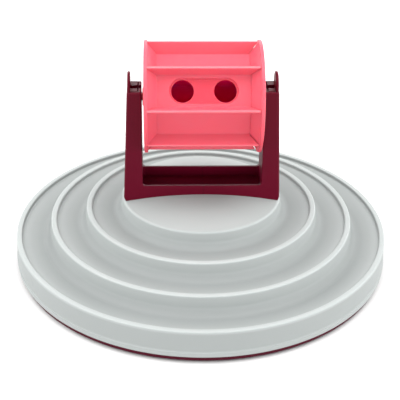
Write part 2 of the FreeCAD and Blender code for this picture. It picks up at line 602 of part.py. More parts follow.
def make_stand():
    body = make_body("stand")
    inset = f"({GAP_HALF} - trough_round)"
    over_bar = "(back_bar_height + trough_round)"
    right = [
        ("(stand_foot_width/2)", FOOT_LEVEL),
        ("(stand_top_width/2)", "shoulder_height"),
        (GAP_HALF, "shoulder_height"),
        (GAP_HALF, over_bar, arc(inset, over_bar, -1, "x")),
        (inset, "back_bar_height"),
    ]
    left = [
        (f"-{inset}", "back_bar_height", arc(f"-{inset}", over_bar, -1, "x")),
        (f"-{GAP_HALF}", over_bar),
        (f"-{GAP_HALF}", "shoulder_height"),
        ("-(stand_top_width/2)", "shoulder_height"),
        ("-(stand_foot_width/2)", FOOT_LEVEL),
    ]
    sketch = make_sketch(body, "frame_outline", "XZ_Plane")
    draw_outline(sketch, right + left)
    add_feature(body, "Pad", "frame_block", sketch, "stand_foot_depth", both=True)

    # What lies outside the side view's taper is cut away.
    reach = "(stand_foot_depth)"
    over = "(shoulder_height + 5)"
    under = f"({FOOT_LEVEL} - 5)"
    sketch = make_sketch(body, "side_outline", "YZ_Plane")
    for sign in ("", "-"):
        draw_outline(sketch, [
            (f"{sign}(stand_foot_depth/2)", FOOT_LEVEL),
            (f"{sign}(stand_foot_depth/2)", under),
            (f"{sign}{reach}", under),
            (f"{sign}{reach}", over),
            (f"{sign}(stand_top_depth/2)", over),
            (f"{sign}(stand_top_depth/2)", "shoulder_height"),
        ])
    add_feature(body, "Pocket", "side_taper", sketch, "stand_foot_width + 20", both=True)
    work_edges(body, "Fillet", "upright_corners", "upright_round", upright_corner)
    work_edges(body, "Fillet", "shoulder_edges", "shoulder_round", shoulder_edge)
    sketch = make_sketch(body, "foot_bevel_outline", "XZ_Plane")
    for sign in ("", "-"):
        draw_outline(sketch, [
            (f"{sign}(stand_foot_width/2 - foot_bevel)", FOOT_LEVEL),
            (f"{sign}(stand_foot_width/2 + foot_bevel/2)", FOOT_LEVEL),
            (f"{sign}(stand_foot_width/2 + foot_bevel/2)", f"({FOOT_LEVEL} + 3*foot_bevel)"),
        ])
    add_feature(body, "Pocket", "foot_bevels", sketch, "stand_foot_depth + 10", both=True)

    # Hollow of each upright, open below, with a boss for the stand screw.
    hollow_inside = f"({GAP_HALF} + upright_wall)"
    hollow_outside = "(stand_foot_width/2 - upright_wall - upright_core_margin)"
    half_depth = "(stand_foot_depth/2 - upright_wall - upright_core_margin)"
    hollow = [(hollow_inside, f"-{half_depth}"), (hollow_outside, f"-{half_depth}"),
              (hollow_outside, half_depth), (hollow_inside, half_depth)]
    sketch = make_sketch(body, "upright_hollow_outline", "XY_Plane", FOOT_LEVEL)
    draw_outline(sketch, hollow)
    draw_outline(sketch, mirrored(hollow))
    add_feature(body, "Pocket", "upright_hollows", sketch, f"shoulder_height - upright_head - {FOOT_LEVEL}",
                back=True, draft="-upright_core_draft")
    sketch = make_sketch(body, "upright_boss_outline", "XY_Plane", FOOT_LEVEL)
    for side in ("stand_screw_offset", "-stand_screw_offset"):
        draw_circle(sketch, side, "0", "stand_boss_diameter/2")
    add_feature(body, "Pad", "upright_bosses", sketch, "stand_boss_height")

    # The underside follows the dome.
    edge = "(stand_foot_width/2 + 10)"
    sketch = make_sketch(body, "dome_seat_profile", "XZ_Plane")
    draw_outline(sketch, [
        ("0", "dome_height", arc("0", DOME_CENTRE, -1, "x")),
        (edge, dome_at(edge)),
        (edge, f"({FOOT_LEVEL} - 10)"),
        ("0", f"({FOOT_LEVEL} - 10)"),
    ])
    add_feature(body, "Groove", "dome_seat", sketch)
    sketch = make_sketch(body, "upright_pilot_outline", "XY_Plane", FOOT_LEVEL)
    for side in ("stand_screw_offset", "-stand_screw_offset"):
        draw_circle(sketch, side, "0", "screw_shank_diameter/2 + screw_fit_gap")
    add_feature(body, "Pocket", "upright_pilots", sketch,
                f"{BOSS_LEVEL} + stand_screw_length + pilot_spare - {FOOT_LEVEL}", back=True)

    # Trough between the uprights, with a front wall lower than the back one.
    half_trough = "(trough_width/2)"
    sketch = make_sketch(body, "trough_outline", "XY_Plane", over_bar)
    draw_outline(sketch, [(f"-{GAP_HALF}", f"-{half_trough}"), (GAP_HALF, f"-{half_trough}"),
                          (GAP_HALF, half_trough), (f"-{GAP_HALF}", half_trough)])
    add_feature(body, "Pocket", "trough", sketch, f"{over_bar} - trough_floor_height")
    work_edges(body, "Fillet", "trough_corners", "trough_round", trough_corner)
    centre_height = "(front_bar_height + trough_round)"
    over_cut = f"({over_bar} + 1)"
    sketch = make_sketch(body, "front_bar_outline", "XZ_Plane")
    draw_outline(sketch, [
        (f"-{GAP_HALF}", over_cut),
        (f"-{GAP_HALF}", centre_height, arc(f"-{inset}", centre_height, 1, "x")),
        (f"-{inset}", "front_bar_height"),
        (inset, "front_bar_height", arc(inset, centre_height, 1, "x")),
        (GAP_HALF, centre_height),
        (GAP_HALF, over_cut),
    ])
    add_feature(body, "Pocket", "front_bar", sketch, "stand_foot_depth", back=True)
    work_edges(body, "Fillet", "frame_edges", "front_round", frame_edge)

    # Half-round ears that stop the axle stubs endways.
    half_ear = "(stand_top_depth/2 - ear_set_back)"
    ear_centre = "(shoulder_height + ear_set_back)"
    for name, sign, back in (("left", "-", True), ("right", "", False)):
        sketch = make_sketch(body, f"{name}_ear_outline", "YZ_Plane", sign + EAR_INSIDE)
        draw_outline(sketch, [
            (f"-{half_ear}", "(shoulder_height - rim_gap_depth)"),
            (half_ear, "(shoulder_height - rim_gap_depth)"),
            (half_ear, ear_centre, arc("0", ear_centre, 1, "y")),
            (f"-{half_ear}", ear_centre),
        ])
        add_feature(body, "Pad", f"{name}_ear", sketch, "ear_thickness", back=back)
    work_edges(body, "Fillet", "ear_edges", "ear_round", ear_edge)

    # Saddles for the axle stubs, open upwards, and the groove that sets each saddle block off from the rim.
    slot = "(stub_diameter/2 + stub_gap)"
    sketch = make_sketch(body, "saddle_outline", "YZ_Plane")
    draw_outline(sketch, [
        (f"-{slot}", "(shoulder_height + 1)"),
        (f"-{slot}", "axle_height", arc("0", "axle_height", 1, "y")),
        (slot, "axle_height"),
        (slot, "(shoulder_height + 1)"),
    ])
    add_feature(body, "Pocket", "saddles", sketch, f"2*{EAR_INSIDE}", both=True)
    groove_side = f"({GAP_HALF} + rim_wall)"
    groove_front = "(stand_top_depth/2 - rim_wall)"
    block_side = f"({groove_side} + rim_gap)"
    block_front = f"({groove_front} - rim_gap)"
    groove = [
        (EAR_INSIDE, f"-{groove_front}"),
        (groove_side, f"-{groove_front}"),
        (groove_side, groove_front),
        (EAR_INSIDE, groove_front),
        (EAR_INSIDE, block_front),
        (block_side, block_front),
        (block_side, f"-{block_front}"),
        (EAR_INSIDE, f"-{block_front}"),
    ]
    sketch = make_sketch(body, "rim_groove_outline", "XY_Plane", "shoulder_height")
    draw_outline(sketch, groove)
    draw_outline(sketch, mirrored(groove))
    add_feature(body, "Pocket", "rim_grooves", sketch, "rim_gap_depth")
    return body


def upright_corner(edge):
    # The long outer corners of the uprights.
    box = edge.BoundBox
    return box.ZLength > 50 and min(abs(box.XMin), abs(box.XMax)) > value(GAP_HALF) + 1


def shoulder_edge(edge):
    # The top edge of each upright, but not its inner side.
    box = edge.BoundBox
    level = abs(box.ZMin - value("shoulder_height")) < 0.01 and box.ZLength < 0.01
    inner_side = box.XLength < 0.01 and abs(abs(box.XMin) - value(GAP_HALF)) < 0.01
    return level and not inner_side


def trough_corner(edge):
    box = edge.BoundBox
    low = value("trough_floor_height")
    upright = box.XLength < 0.01 and box.YLength < 0.01
    at_corner = (abs(abs(box.XMin) - value(GAP_HALF)) < 0.01
                 and abs(abs(box.YMin) - value("trough_width/2")) < 0.01)
    return upright and at_corner and abs(box.ZMin - low) < 0.01


def frame_edge(edge):
    # The U-shaped inner edge of the frame's front face and of its back face.
    box = edge.BoundBox
    near = min(abs(box.YMin), abs(box.YMax))
    across = max(abs(box.XMin), abs(box.XMax))
    outside_trough = near > value("trough_width/2") + 0.5 or box.ZMin > value("back_bar_height") + 10
    return (outside_trough and across < value(GAP_HALF) + 0.01 and box.ZMin > value("front_bar_height") - 0.01
            and near > value("stand_top_depth/2") - 0.01)


def ear_edge(edge):
    # The arched edges of both ears.
    box = edge.BoundBox
    return (box.XLength < 0.01 and box.ZMin > value("shoulder_height") - 0.01
            and box.ZMax > value("shoulder_height + ear_set_back") + 1)


# Drum: built with its holed face up and its axle on the X axis, then turned to its place at rest.

def make_drum_body(name):
    body = make_body(name, "axle_height")
    body.Placement = Placement(Vector(0, 0, value("axle_height")),
                               Rotation(Vector(1, 0, 0), value("drum_turn")))
    bind(body, "Placement.Rotation.Angle", "drum_turn")
    return body


def add_end(body, side):
    # Slanted end wall inside a disc, from its rim down to the core. side is -1 on the left, 1 on the right.
    sign = "-" if side < 0 else ""
    count = int(value("paddle_count"))
    at_disc = make_sketch(body, "end_wall_outline", "YZ_Plane", sign + DISC_FACE)
    draw_outline(at_disc, many_sided(END_REACH, count))
    at_core = make_sketch(body, "end_wall_foot", "YZ_Plane", sign + CORE_END)
    draw_outline(at_core, many_sided("core_radius", count))
    add_loft(body, "end_wall", at_disc, at_core)


def add_hub(body, side):
    # Dish in the outer face of a disc, its side parallel to the slanted wall, with a collar and axle stub.
    sign = "-" if side < 0 else ""
    back = side < 0
    lean = f"(({END_REACH} - core_radius)*cos(180/paddle_count)/end_wall_width)"
    mouth = "(drum_radius - dish_rim)"
    bottom = f"({mouth} - (drum_width/2 - {DISH_BOTTOM})*{lean})"
    sketch = make_sketch(body, "dish_profile", "XZ_Plane")
    draw_outline(sketch, [
        (sign + DISH_BOTTOM, "0"),
        (f"{sign}(drum_width/2 + 1)", "0"),
        (f"{sign}(drum_width/2 + 1)", mouth),
        (f"{sign}(drum_width/2)", mouth),
        (sign + DISH_BOTTOM, bottom),
    ])
    add_feature(body, "Groove", "dish", sketch, axis="H_Axis")
    sketch = make_sketch(body, "collar_outline", "YZ_Plane", sign + DISH_BOTTOM)
    draw_circle(sketch, "0", "0", "collar_diameter/2")
    add_feature(body, "Pad", "collar", sketch, f"{GAP_HALF} - collar_gap - {DISH_BOTTOM}", back=back)
    sketch = make_sketch(body, "stub_outline", "YZ_Plane", sign + DISH_BOTTOM)
    draw_circle(sketch, "0", "0", "stub_diameter/2")
    add_feature(body, "Pad", "stub", sketch, f"{STUB_END} - {DISH_BOTTOM}", back=back)
    end = side * value(STUB_END)
    work_edges(body, "Chamfer", "stub_end", "stub_bevel", lambda edge: abs(edge.BoundBox.XMin - end) < 0.01)


def disc_rim(edge):
    round_edge = isinstance(edge.Curve, Part.Circle)
    return round_edge and abs(edge.Curve.Radius - value("drum_radius")) < 0.01


def make_drum():
    body = make_drum_body("drum_body")
    count = int(value("paddle_count"))
    sketch = make_sketch(body, "disc_outline", "YZ_Plane", "-drum_width/2")
    draw_circle(sketch, "0", "0", "drum_radius")
    add_feature(body, "Pad", "disc", sketch, "disc_thickness")
    work_edges(body, "Fillet", "disc_rim", "disc_round", disc_rim)
    add_end(body, -1)
    sketch = make_sketch(body, "core_outline", "YZ_Plane", f"-{CORE_END}")
    draw_outline(sketch, many_sided("core_radius", count))
    draw_outline(sketch, many_sided(CORE_INNER_RADIUS, count))
    add_feature(body, "Pad", "core", sketch, f"2*{CORE_END}")

    # One paddle stands on a corner of the core, and the rest follow round the axle.
    half = "(paddle_thickness/2)"
    root = "(core_radius - core_wall)"
    tip = "(drum_radius - paddle_tip_inset)"
    sketch = make_sketch(body, "paddle_outline", "YZ_Plane", f"-{DISC_FACE}", "180/paddle_count")
    draw_outline(sketch, [
        (f"-{half}", root),
        (half, root),
        (half, f"({tip} - {half})", arc("0", f"({tip} - {half})", 1, "y")),
        (f"-{half}", f"({tip} - {half})"),
    ])
    paddle = add_feature(body, "Pad", "paddle", sketch, f"2*{DISC_FACE} - paddle_end_gap")
    repeat_round(body, "paddles", [paddle], "X_Axis", "paddle_count")

    # The paddles' right ends are cut off along the slanted wall of the cap, which they clear.
    sketch = make_sketch(body, "paddle_end_profile", "XZ_Plane")
    draw_outline(sketch, [
        (CORE_END, f"({root} - 1)"),
        (CORE_END, "core_radius"),
        (f"({CORE_END} - paddle_end_gap)", "core_radius"),
        (f"({DISC_FACE} - paddle_end_gap)", END_REACH),
        (f"({DISC_FACE} - paddle_end_gap)", "(drum_radius + 2)"),
        (f"({DISC_FACE} + 1)", "(drum_radius + 2)"),
        (f"({DISC_FACE} + 1)", f"({root} - 1)"),
    ])
    add_feature(body, "Groove", "paddle_ends", sketch, axis="H_Axis")

    # The holed face: a thickening inside, a shallow recess outside and two treat holes through both.
    sketch = make_sketch(body, "backing_outline", "XY_Plane", f"{CORE_FLAT} - core_wall")
    draw_stadium(sketch, "recess_length + 2*recess_margin", "recess_width + 2*recess_margin")
    add_feature(body, "Pad", "backing", sketch, "recess_backing", back=True)
    sketch = make_sketch(body, "recess_outline", "XY_Plane", CORE_FLAT)
    draw_stadium(sketch, "recess_length", "recess_width")
    add_feature(body, "Pocket", "recess", sketch, "recess_depth")
    sketch = make_sketch(body, "treat_hole_outline", "XY_Plane", CORE_FLAT)
    for side in ("hole_spacing/2", "-hole_spacing/2"):
        draw_circle(sketch, side, "0", "hole_diameter/2")
    add_feature(body, "Pocket", "treat_holes", sketch, "core_wall + recess_backing + 1")
    add_hub(body, -1)
    return body


def make_cap():
    body = make_drum_body("drum_cap")
    count = int(value("paddle_count"))
    sketch = make_sketch(body, "cap_disc_outline", "YZ_Plane", DISC_FACE)
    draw_circle(sketch, "0", "0", "drum_radius")
    add_feature(body, "Pad", "cap_disc", sketch, "disc_thickness")
    work_edges(body, "Fillet", "cap_rim", "disc_round", disc_rim)
    add_end(body, 1)
    outer = f"({CORE_INNER_RADIUS} - spigot_gap/cos(180/paddle_count))"
    inner = f"({outer} - spigot_wall/cos(180/paddle_count))"
    sketch = make_sketch(body, "spigot_outline", "YZ_Plane", CORE_END)
    draw_outline(sketch, many_sided(outer, count))
    draw_outline(sketch, many_sided(inner, count))
    add_feature(body, "Pad", "spigot", sketch, "spigot_length", back=True)
    add_hub(body, 1)
    return body


def check_document():
    for item in doc.Objects:
        if "Invalid" in item.State or "Error" in item.State:
            raise ValueError(f"{item.Name} is {item.State}")


def write_parts(parts):
    os.makedirs("parts", exist_ok=True)
    for part in parts:
        shape = part.Shape
        if shape.isNull() or not shape.isValid() or not shape.Solids:
            raise ValueError(f"{part.Label} has no valid solid")
        print(part.Label, len(shape.Solids), "solid", round(shape.Volume / 1000, 2), "cm3")
        shape.exportStep(os.path.join("parts", part.Label + ".step"))


feet = [make_foot(number + 1) for number in range(int(value("foot_count")))]
base = [make_tray(), make_plate(), make_plate_screws()] + feet
stand = [make_stand(), make_stand_screws()]
drum = [make_drum(), make_cap()]
doc.recompute()
check_document()
write_parts(base + stand + drum)
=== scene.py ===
# Cat puzzle feeder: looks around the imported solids.
import math

import bmesh
import bpy
from mathutils import Matrix, Vector


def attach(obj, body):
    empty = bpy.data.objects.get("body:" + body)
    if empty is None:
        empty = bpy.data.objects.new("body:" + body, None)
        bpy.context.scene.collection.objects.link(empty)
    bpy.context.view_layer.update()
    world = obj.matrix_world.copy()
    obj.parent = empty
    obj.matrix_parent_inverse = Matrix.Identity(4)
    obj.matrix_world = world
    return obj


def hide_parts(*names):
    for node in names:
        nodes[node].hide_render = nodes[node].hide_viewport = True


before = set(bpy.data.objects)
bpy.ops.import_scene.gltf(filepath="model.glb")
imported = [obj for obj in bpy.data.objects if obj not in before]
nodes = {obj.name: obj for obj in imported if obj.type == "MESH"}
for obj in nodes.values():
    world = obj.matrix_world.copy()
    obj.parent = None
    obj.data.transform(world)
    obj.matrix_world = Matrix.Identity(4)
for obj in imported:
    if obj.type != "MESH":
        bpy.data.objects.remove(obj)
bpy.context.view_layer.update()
mm = 0.001
mergeDistance = 0.000002


# Camera: solved by least squares from points read off the photograph, then written here as plain numbers.
cameraPlace = {
    "location": (-0.02834, -0.73317, 0.46491),
    "heading": 2.143,   # degrees from +Y towards +X
    "dip": 29.584,      # degrees below level
    "roll": 0.767,
    "lens": 93.70,
    "sensor": 36.0,
    "clip": (0.02, 60.0),
}


def addCamera(place):
    heading, dip, roll = (math.radians(place[k]) for k in ("heading", "dip", "roll"))
    ahead = Vector((math.sin(heading) * math.cos(dip), math.cos(heading) * math.cos(dip), -math.sin(dip)))
    right = Vector((math.cos(heading), -math.sin(heading), 0))
    up = right.cross(ahead)
    across = right * math.cos(roll) + up * math.sin(roll)
    above = up * math.cos(roll) - right * math.sin(roll)
    data = bpy.data.cameras.new("viewCamera")
    data.lens = place["lens"]
    data.sensor_width = place["sensor"]
    data.clip_start, data.clip_end = place["clip"]
    camera = bpy.data.objects.new("viewCamera", data)
    turn = Matrix((across, above, -ahead)).transposed().to_4x4()
    camera.matrix_world = Matrix.Translation(place["location"]) @ turn
    bpy.context.scene.collection.objects.link(camera)
    bpy.context.scene.camera = camera


addCamera(cameraPlace)
print("camera set")


# Nodes are added one call each: links go from a socket or set a value.
def addNode(tree, kind, links=None, **settings):
    node = tree.nodes.new(kind)
    for key, setting in settings.items():
        setattr(node, key, setting)
    for socket, source in (links or {}).items():
        if isinstance(source, bpy.types.NodeSocket):
            tree.links.new(source, node.inputs[socket])
        else:
            node.inputs[socket].default_value = source
    return node


def doMath(tree, operation, *values):
    return addNode(tree, "ShaderNodeMath", dict(enumerate(values)), operation=operation).outputs[0]


def mixColour(tree, amount, first, second):
    links = {"Factor": amount, 6: first, 7: second}
    return addNode(tree, "ShaderNodeMix", links, data_type="RGBA").outputs[2]


def startTree(name, kind, inputs, outputs):
    tree = bpy.data.node_groups.new(name, kind)
    for title, socket, start in inputs:
        made = tree.interface.new_socket(title, in_out="INPUT", socket_type=socket)
        if start is not None:
            made.default_value = start
    for title, socket in outputs:
        tree.interface.new_socket(title, in_out="OUTPUT", socket_type=socket)
    return tree, addNode(tree, "NodeGroupInput").outputs, addNode(tree, "NodeGroupOutput")


# Stage: a pale floor that fills the view.
stageLook = {
    "floorSize": 30.0,
    "floorColour": (0.55, 0.55, 0.55),
    "floorGloss": 0.9,
    "floorSpecular": 0.1,
}


def addStage(look):
    scene = bpy.context.scene
    scene.view_settings.view_transform = "Standard"
    reach = look["floorSize"] / 2
    corners = [(-reach, -reach, 0), (reach, -reach, 0), (reach, reach, 0), (-reach, reach, 0)]
    mesh = bpy.data.meshes.new("floor")
    mesh.from_pydata(corners, [], [(0, 1, 2, 3)])
    floor = bpy.data.objects.new("floor", mesh)
    scene.collection.objects.link(floor)
    paint = bpy.data.materials.new("floorPaint")
    paint.use_nodes = True
    shader = paint.node_tree.nodes["Principled BSDF"]
    shader.inputs["Base Color"].default_value = (*look["floorColour"], 1)
    shader.inputs["Roughness"].default_value = look["floorGloss"]
    shader.inputs["Specular IOR Level"].default_value = look["floorSpecular"]
    mesh.materials.append(paint)


# Light tent round the stage: its glow by height above the horizon, in degrees, on each of its four sides.
# All sides meet in the top value, and the camera itself sees plain white. The glow started from a numeric
# fit to the photograph's shading and was then changed.
tentGlow = {
    "heights": (0, 5, 11, 18, 28, 42, 60, 90),
    "front": (0, 5.6, 6.4, 0, 0, 0, 2.9, 4.6),
    "back": (0, 0, 0, 9.6, 0, 0, 0, 4.6),
    "left": (24.0, 0, 0, 4.67, 0, 6.8, 6.2, 4.6),
    "right": (28.0, 0, 0, 10.77, 0, 0.3, 10.2, 4.6),
}
tentSides = {"front": (1, -1), "back": (1, 1), "left": (0, -1), "right": (0, 1)}


def addTent(glow):
    world = bpy.data.worlds.new("lightTent")
    world.use_nodes = True
    tree = world.node_tree
    way = addNode(tree, "ShaderNodeTexCoord").outputs["Generated"]
    parts = addNode(tree, "ShaderNodeSeparateXYZ", {0: way}).outputs
    height = doMath(tree, "MULTIPLY", doMath(tree, "ARCSINE", parts[2]), 2 / math.pi)
    square = doMath(tree, "MULTIPLY", parts[2], parts[2])
    level = doMath(tree, "SQRT", doMath(tree, "SUBTRACT", 1.0, square))
    total = 0.0
    for side, (axis, sign) in tentSides.items():
        peak = max(glow[side])
        ramp = addNode(tree, "ShaderNodeValToRGB", {0: height})
        stops = ramp.color_ramp.elements
        for k, (angle, strength) in enumerate(zip(glow["heights"], glow[side])):
            stop = stops[k] if k < 1 else stops.new(angle / 90) if angle < 90 else stops[-1]
            stop.position = angle / 90
            stop.color = (strength / peak, strength / peak, strength / peak, 1)
        toSide = doMath(tree, "MULTIPLY", parts[axis], sign)
        lean = doMath(tree, "MAXIMUM", doMath(tree, "DIVIDE", toSide, level), 0)
        share = doMath(tree, "MULTIPLY", doMath(tree, "MULTIPLY", lean, lean), peak)
        total = doMath(tree, "ADD", total, doMath(tree, "MULTIPLY", share, ramp.outputs[0]))
    above = doMath(tree, "GREATER_THAN", parts[2], 0.0)
    lit = doMath(tree, "MULTIPLY", total, above)
    seen = addNode(tree, "ShaderNodeLightPath").outputs["Is Camera Ray"]
    shown = mixColour(tree, seen, lit, (1, 1, 1, 1))
    tree.links.new(shown, tree.nodes["Background"].inputs["Color"])
    bpy.context.scene.world = world


addStage(stageLook)
addTent(tentGlow)
print("stage and lights set")


# Shared finish of moulded plastic: cloudy colour, uneven gloss, fine grain and faint scuffs.
finishLook = {
    "cloudDetail": 3.0,
    "cloudRange": (0.3, 0.7),
    "scuffSize": 75.0,
    "scuffDetail": 5.0,
    "scuffWarp": 1.6,
    "scuffRange": (0.56, 0.72),
    "grainDetail": 2.0,
}


def addRange(tree, source, low, high):
    links = {"Value": source, "From Min": low, "From Max": high}
    return addNode(tree, "ShaderNodeMapRange", links).outputs[0]


def addNoise(tree, place, size, detail, warp=0.0):
    links = {"Vector": place, "Scale": size, "Detail": detail, "Distortion": warp}
    return addNode(tree, "ShaderNodeTexNoise", links).outputs[0]


def makeMouldedFinish():
    look = finishLook
    tree, given, out = startTree("mouldedFinish", "ShaderNodeTree", [
        ("Colour", "NodeSocketColor", (1, 1, 1, 1)),
        ("Shade", "NodeSocketColor", (1, 1, 1, 1)),
        ("Cloud Size", "NodeSocketFloat", 20.0),
        ("Cloud Amount", "NodeSocketFloat", 0.5),
        ("Gloss", "NodeSocketFloat", 0.5),
        ("Gloss Spread", "NodeSocketFloat", 0.1),
        ("Grain Size", "NodeSocketFloat", 2500.0),
        ("Scuffs", "NodeSocketFloat", 0.1),
    ], [("Colour", "NodeSocketColor"), ("Roughness", "NodeSocketFloat"), ("Height", "NodeSocketFloat")])
    place = addNode(tree, "ShaderNodeTexCoord").outputs["Object"]
    cloud = addNoise(tree, place, given["Cloud Size"], look["cloudDetail"])
    spread = addRange(tree, cloud, *look["cloudRange"])
    amount = doMath(tree, "MULTIPLY", spread, given["Cloud Amount"])
    tinted = mixColour(tree, amount, given["Colour"], given["Shade"])
    patches = addNoise(tree, place, look["scuffSize"], look["scuffDetail"], look["scuffWarp"])
    worn = addRange(tree, patches, *look["scuffRange"])
    scuffed = doMath(tree, "MULTIPLY", worn, given["Scuffs"])
    uneven = doMath(tree, "MULTIPLY", doMath(tree, "SUBTRACT", cloud, 0.5), given["Gloss Spread"])
    rough = doMath(tree, "ADD", doMath(tree, "ADD", given["Gloss"], uneven), scuffed)
    grain = addNoise(tree, place, given["Grain Size"], look["grainDetail"])
    tree.links.new(tinted, out.inputs["Colour"])
    tree.links.new(rough, out.inputs["Roughness"])
    tree.links.new(grain, out.inputs["Height"])
    return tree


# Shared mask of sparse specks: dust and small marks from handling. The rest of the cells stay clean.
cleanShare = 0.6


def makeFineSpecks():
    tree, given, out = startTree("fineSpecks", "ShaderNodeTree", [
        ("Spacing", "NodeSocketFloat", 60.0),
        ("Speck Size", "NodeSocketFloat", 0.03),
        ("Strength", "NodeSocketFloat", 0.5),
    ], [("Mask", "NodeSocketFloat")])
    place = addNode(tree, "ShaderNodeTexCoord").outputs["Object"]
    cells = addNode(tree, "ShaderNodeTexVoronoi", {"Vector": place, "Scale": given["Spacing"]})
    chance = addNode(tree, "ShaderNodeSeparateColor", {0: cells.outputs["Color"]})
    size = doMath(tree, "MULTIPLY", chance.outputs[0], given["Speck Size"])
    spot = addRange(tree, cells.outputs["Distance"], size, 0.0)
    kept = doMath(tree, "GREATER_THAN", chance.outputs[1], cleanShare)
    mask = doMath(tree, "MULTIPLY", doMath(tree, "MULTIPLY", spot, kept), given["Strength"])
    tree.links.new(mask, out.inputs["Mask"])
    return tree


mouldedFinish = makeMouldedFinish()
fineSpecks = makeFineSpecks()
paintLooks = {
    "trayPlastic": {
        "colour": (0.237, 0.253, 0.249),
        "shade": (0.227, 0.243, 0.239),
        "cloud": (14.0, 0.5),
        "gloss": (0.52, 0.08),
        "grain": (1900.0, 0.05),
        "scuffs": 0.06,
        "specular": 0.25,
        "specks": (42.0, 0.035, 0.35),
        "speck": (0.14, 0.15, 0.15),
    },
    "platePlastic": {
        "colour": (0.05, 0.001, 0.009),
        "shade": (0.042, 0.0008, 0.007),
        "cloud": (12.0, 0.6),
        "gloss": (0.42, 0.12),
        "grain": (1600.0, 0.08),
        "scuffs": 0.16,
        "specular": 0.12,
        "specks": (60.0, 0.06, 0.4),
        "speck": (0.4, 0.36, 0.36),
    },
    "maroonPlastic": {
        "colour": (0.076, 0.0007, 0.0092),
        "shade": (0.065, 0.0005, 0.0078),
        "cloud": (26.0, 0.6),
        "gloss": (0.38, 0.1),
        "grain": (2100.0, 0.05),
        "scuffs": 0.08,
        "specular": 0.08,
        "specks": (90.0, 0.03, 0.25),
        "speck": (0.35, 0.2, 0.24),
    },
    "coralPlastic": {
        "colour": (0.53, 0.066, 0.095),
        "shade": (0.515, 0.06, 0.087),
        "cloud": (32.0, 0.6),
        "gloss": (0.46, 0.08),
        "grain": (2300.0, 0.04),
        "scuffs": 0.06,
        "specular": 0.28,
        "specks": (80.0, 0.03, 0.15),
        "speck": (0.75, 0.3, 0.33),
        "depth": (0.35, 0.004, (1.0, 0.06, 0.12)),
    },
    "footRubber": {
        "colour": (0.022, 0.022, 0.024),
        "shade": (0.034, 0.034, 0.036),
        "cloud": (90.0, 0.8),
        "gloss": (0.78, 0.15),
        "grain": (900.0, 0.25),
        "scuffs": 0.12,
        "specular": 0.35,
        "specks": (170.0, 0.1, 0.6),
        "speck": (0.24, 0.23, 0.22),
    },
    "screwSteel": {
        "colour": (0.52, 0.52, 0.53),
        "shade": (0.38, 0.385, 0.4),
        "cloud": (240.0, 0.9),
        "gloss": (0.32, 0.2),
        "grain": (1500.0, 0.12),
        "scuffs": 0.15,
        "specular": 0.5,
        "specks": (400.0, 0.1, 0.4),
        "speck": (0.25, 0.22, 0.19),
        "metallic": 1.0,
    },
}


grainDepth = 0.0002


def makePaint(name, look, extra=None):
    paint = bpy.data.materials.new(name)
    paint.use_nodes = True
    tree = paint.node_tree
    shader = tree.nodes["Principled BSDF"]
    finish = addNode(tree, "ShaderNodeGroup", node_tree=mouldedFinish)
    settings = {
        "Colour": (*look["colour"], 1),
        "Shade": (*look["shade"], 1),
        "Cloud Size": look["cloud"][0],
        "Cloud Amount": look["cloud"][1],
        "Gloss": look["gloss"][0],
        "Gloss Spread": look["gloss"][1],
        "Grain Size": look["grain"][0],
        "Scuffs": look["scuffs"],
    }
    for socket, setting in settings.items():
        finish.inputs[socket].default_value = setting
    specks = addNode(tree, "ShaderNodeGroup", node_tree=fineSpecks)
    for socket, setting in zip(("Spacing", "Speck Size", "Strength"), look["specks"]):
        specks.inputs[socket].default_value = setting
    colour = mixColour(tree, specks.outputs["Mask"], finish.outputs["Colour"], (*look["speck"], 1))
    if extra:
        colour = extra(tree, colour)
    height = {"Height": finish.outputs["Height"], "Strength": look["grain"][1], "Distance": grainDepth}
    bump = addNode(tree, "ShaderNodeBump", height)
    tree.links.new(colour, shader.inputs["Base Color"])
    tree.links.new(finish.outputs["Roughness"], shader.inputs["Roughness"])
    tree.links.new(bump.outputs["Normal"], shader.inputs["Normal"])
    shader.inputs["Specular IOR Level"].default_value = look["specular"]
    shader.inputs["Metallic"].default_value = look.get("metallic", 0.0)
    if "depth" in look:
        shader.inputs["Subsurface Weight"].default_value = look["depth"][0]
        shader.inputs["Subsurface Scale"].default_value = look["depth"][1]
        shader.inputs["Subsurface Radius"].default_value = look["depth"][2]
    return paint


# The stand's mould left a faint upright line where the plastic met, a little right of its middle.
meetingLine = {
    "place": 0.0012,
    "width": 0.0011,
    "amount": 0.30,
    "colour": (0.02, 0.001, 0.004),
}


def addMeetingLine(tree, colour):
    place = addNode(tree, "ShaderNodeTexCoord").outputs["Object"]
    across = addNode(tree, "ShaderNodeSeparateXYZ", {0: place}).outputs[0]
    distance = doMath(tree, "ABSOLUTE", doMath(tree, "SUBTRACT", across, meetingLine["place"]))
    near = addRange(tree, distance, meetingLine["width"], 0.0)
    amount = doMath(tree, "MULTIPLY", near, meetingLine["amount"])
    return mixColour(tree, amount, colour, (*meetingLine["colour"], 1))


# The tray's colour is paler on the crests and darker in the trenches, which stands in for shading in the
# photograph that the tent doesn't give.
ringTint = {
    "start": 0.0634,
    "pitch": 0.0287,
    "fadeIn": -0.0008,
    # millimetres out from a ring's start: strength of the colour
    "steps": ((0, 1.09), (0.9, 0.98), (1.5, 0.89), (3.5, 0.77), (6, 0.70), (10, 0.72), (16, 0.80),
              (21.5, 0.92), (24.1, 0.97), (24.5, 1.09), (28.7, 1.09)),
    # the skirt, the tray's outer wall, is painted darker between these heights: painted shade
    "skirtRadius": 0.1480,
    "skirtTop": (0.0255, 0.0240),
    "skirtFoot": (0.0095, 0.0110),
    "skirt": 0.91,
    "most": 1.09,
}


